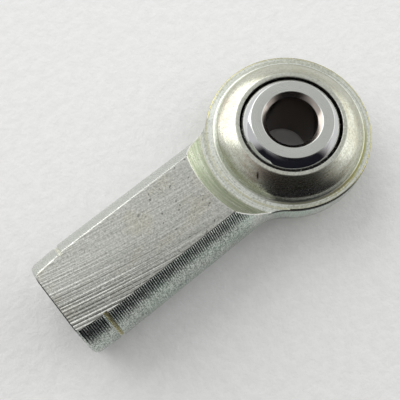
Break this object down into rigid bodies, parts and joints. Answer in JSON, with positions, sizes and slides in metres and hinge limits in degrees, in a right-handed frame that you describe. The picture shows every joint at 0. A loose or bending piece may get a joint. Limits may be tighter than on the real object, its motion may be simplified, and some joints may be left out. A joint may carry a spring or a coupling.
{
  "type": "female rod end",
  "caption": "Female rod end: a plated steel body with a ball staked in its head, a bolt hole through the ball, wrench flats and a threaded hole in the shank.",
  "frame": {"origin": "centre of the ball", "axes": "+Z along the bolt hole of the ball, +X down the shank towards the mouth of the threaded hole"},
  "size_m": [0.0351, 0.0162, 0.008],
  "materials": {
    "zinc_plate": "satin zinc plating with a faint yellow-green passivate",
    "chrome_plate": "polished"
  },
  "bodies": {
    "body": {"body": "zinc_plate"},
    "ball": {"ball": "chrome_plate"}
  },
  "joints": [
    {"name": "ball_tilt", "type": "hinge", "parent": "body", "child": "ball", "pos_m": [0, 0, 0], "axis": [1, 0, 0], "range_deg": [-11, 11]}
  ]
}
